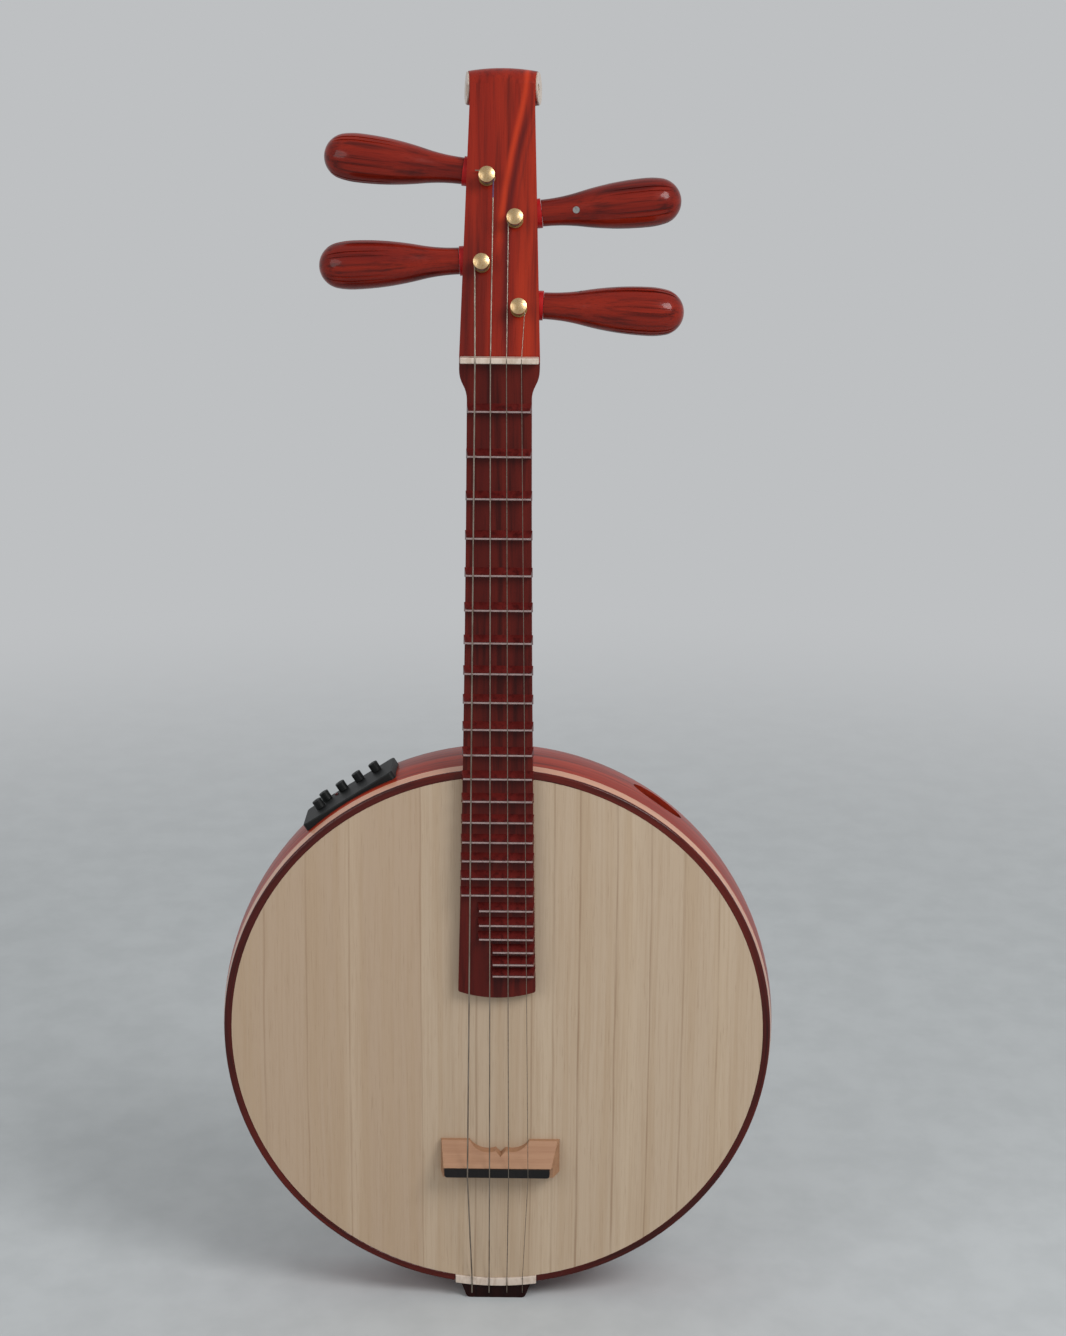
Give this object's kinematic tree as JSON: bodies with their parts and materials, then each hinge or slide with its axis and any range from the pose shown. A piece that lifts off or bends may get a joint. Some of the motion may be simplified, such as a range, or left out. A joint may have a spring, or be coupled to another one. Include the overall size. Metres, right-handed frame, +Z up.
{
  "type": "zhongruan",
  "caption": "Round-bodied plucked lute with a long fretted neck, a raked head with geared tuning pegs, a bridge with strings, a side sound hole and a side preamp with knobs",
  "frame": {"origin": "centre of the tail block's flat bottom, where the instrument stands", "axes": "+Z up along the neck, -Y out of the soundboard's face, +X to the right of a viewer who faces the soundboard"},
  "size_m": [0.4446, 0.1038, 0.9874],
  "materials": {
    "tonewood": "thin matt varnish on straight-grained pale wood",
    "dark_red_wood": "glossy dark red lacquer",
    "pale_maple": "clear lacquer",
    "red_wood": "glossy red-brown lacquer",
    "back_wood": "clear lacquer",
    "spruce": "bare wood",
    "peg_wood": "glossy red lacquer",
    "light_brown_wood": "oiled wood",
    "black_horn": "polished black",
    "bone": "polished off-white bone",
    "red_plastic": "bright red",
    "brass": "polished pale brass",
    "steel": "plain steel",
    "fret_metal": "polished nickel silver",
    "string_steel": "plain steel wire",
    "string_wound": "flat-wound steel",
    "black_plastic": "moulded black"
  },
  "bodies": {
    "instrument": {"soundboard": "tonewood", "front_binding": "dark_red_wood", "edge_strip": "pale_maple", "side_rim": "red_wood", "back_board": "back_wood", "back_binding": "dark_red_wood", "soundboard_braces": "spruce", "back_braces": "spruce", "sound_post": "spruce", "neck_block": "spruce", "tail_inner_block": "spruce", "neck": "red_wood", "fingerboard": "dark_red_wood", "fret_ridges": "red_wood", "fret_wires": "fret_metal", "nut": "bone", "head": "red_wood", "scroll_discs": "bone", "head_cover": "red_wood", "head_cover_screws": "steel", "post_bushings": "brass", "worm_brackets": "steel", "peg_collars": "red_plastic", "bridge": "light_brown_wood", "bridge_saddle": "black_horn", "tail_saddle": "bone", "tail_block": "dark_red_wood", "string_anchors": "brass", "string_1": "string_steel", "string_2": "string_steel", "string_3": "string_wound", "string_4": "string_wound", "preamp_panel": "black_plastic", "preamp_box": "black_plastic", "preamp_lamp": "black_plastic", "pickup_strip": "black_plastic"},
    "peg_1": {"peg_handle_1": "peg_wood", "worm_shaft_1": "steel"},
    "post_1": {"string_post_1": "brass", "worm_wheel_1": "brass"},
    "peg_2": {"peg_handle_2": "peg_wood", "worm_shaft_2": "steel"},
    "post_2": {"string_post_2": "brass", "worm_wheel_2": "brass"},
    "peg_3": {"peg_handle_3": "peg_wood", "worm_shaft_3": "steel"},
    "post_3": {"string_post_3": "brass", "worm_wheel_3": "brass"},
    "peg_4": {"peg_handle_4": "peg_wood", "worm_shaft_4": "steel"},
    "post_4": {"string_post_4": "brass", "worm_wheel_4": "brass"},
    "knob_1": {"tone_knob_1": "black_plastic"},
    "knob_2": {"tone_knob_2": "black_plastic"},
    "knob_3": {"tone_knob_3": "black_plastic"},
    "knob_4": {"tone_knob_4": "black_plastic"},
    "knob_5": {"tone_knob_5": "black_plastic"}
  },
  "joints": [
    {"name": "peg_1_turn", "type": "hinge", "parent": "instrument", "child": "peg_1", "pos_m": [0.01451, -0.00647, 0.81299], "axis": [0.9989, -0.0138, -0.045], "continuous": true},
    {"name": "post_1_turn", "type": "hinge", "parent": "instrument", "child": "post_1", "pos_m": [0.0142, -0.00836, 0.80678], "axis": [0, -0.9563, 0.2924], "continuous": true},
    {"name": "peg_2_turn", "type": "hinge", "parent": "instrument", "child": "peg_2", "pos_m": [0.00989, 0.01341, 0.87798], "axis": [0.994, 0.0321, 0.1049], "continuous": true},
    {"name": "post_2_turn", "type": "hinge", "parent": "instrument", "child": "post_2", "pos_m": [0.0106, 0.01152, 0.87181], "axis": [0, -0.9563, 0.2924], "continuous": true},
    {"name": "peg_3_turn", "type": "hinge", "parent": "instrument", "child": "peg_3", "pos_m": [-0.01014, 0.02279, 0.90868], "axis": [-0.9932, 0.0341, 0.1116], "continuous": true},
    {"name": "post_3_turn", "type": "hinge", "parent": "instrument", "child": "post_3", "pos_m": [-0.0109, 0.0209, 0.9025], "axis": [0, -0.9563, 0.2924], "continuous": true},
    {"name": "peg_4_turn", "type": "hinge", "parent": "instrument", "child": "peg_4", "pos_m": [-0.01451, 0.00342, 0.84531], "axis": [-0.9989, -0.0138, -0.045], "continuous": true},
    {"name": "post_4_turn", "type": "hinge", "parent": "instrument", "child": "post_4", "pos_m": [-0.0142, 0.00152, 0.8391], "axis": [0, -0.9563, 0.2924], "continuous": true},
    {"name": "knob_1_turn", "type": "hinge", "parent": "instrument", "child": "knob_1", "pos_m": [-0.14261, 0.0155, 0.40608], "axis": [-0.5417, 0, 0.8406], "range_deg": [-135, 135]},
    {"name": "knob_2_turn", "type": "hinge", "parent": "instrument", "child": "knob_2", "pos_m": [-0.13824, 0.0288, 0.4089], "axis": [-0.5417, 0, 0.8406], "range_deg": [-135, 135]},
    {"name": "knob_3_turn", "type": "hinge", "parent": "instrument", "child": "knob_3", "pos_m": [-0.12504, 0.0283, 0.4174], "axis": [-0.5417, 0, 0.8406], "range_deg": [-135, 135]},
    {"name": "knob_4_turn", "type": "hinge", "parent": "instrument", "child": "knob_4", "pos_m": [-0.11201, 0.0276, 0.4258], "axis": [-0.5417, 0, 0.8406], "range_deg": [-135, 135]},
    {"name": "knob_5_turn", "type": "hinge", "parent": "instrument", "child": "knob_5", "pos_m": [-0.09831, 0.025, 0.43463], "axis": [-0.5417, 0, 0.8406], "range_deg": [-135, 135]}
  ],
  "couplings": [
    {"joint": "post_1_turn", "follows": "peg_1_turn", "ratio": 0.083333},
    {"joint": "post_2_turn", "follows": "peg_2_turn", "ratio": 0.083333},
    {"joint": "post_3_turn", "follows": "peg_3_turn", "ratio": -0.083333},
    {"joint": "post_4_turn", "follows": "peg_4_turn", "ratio": -0.083333}
  ]
}
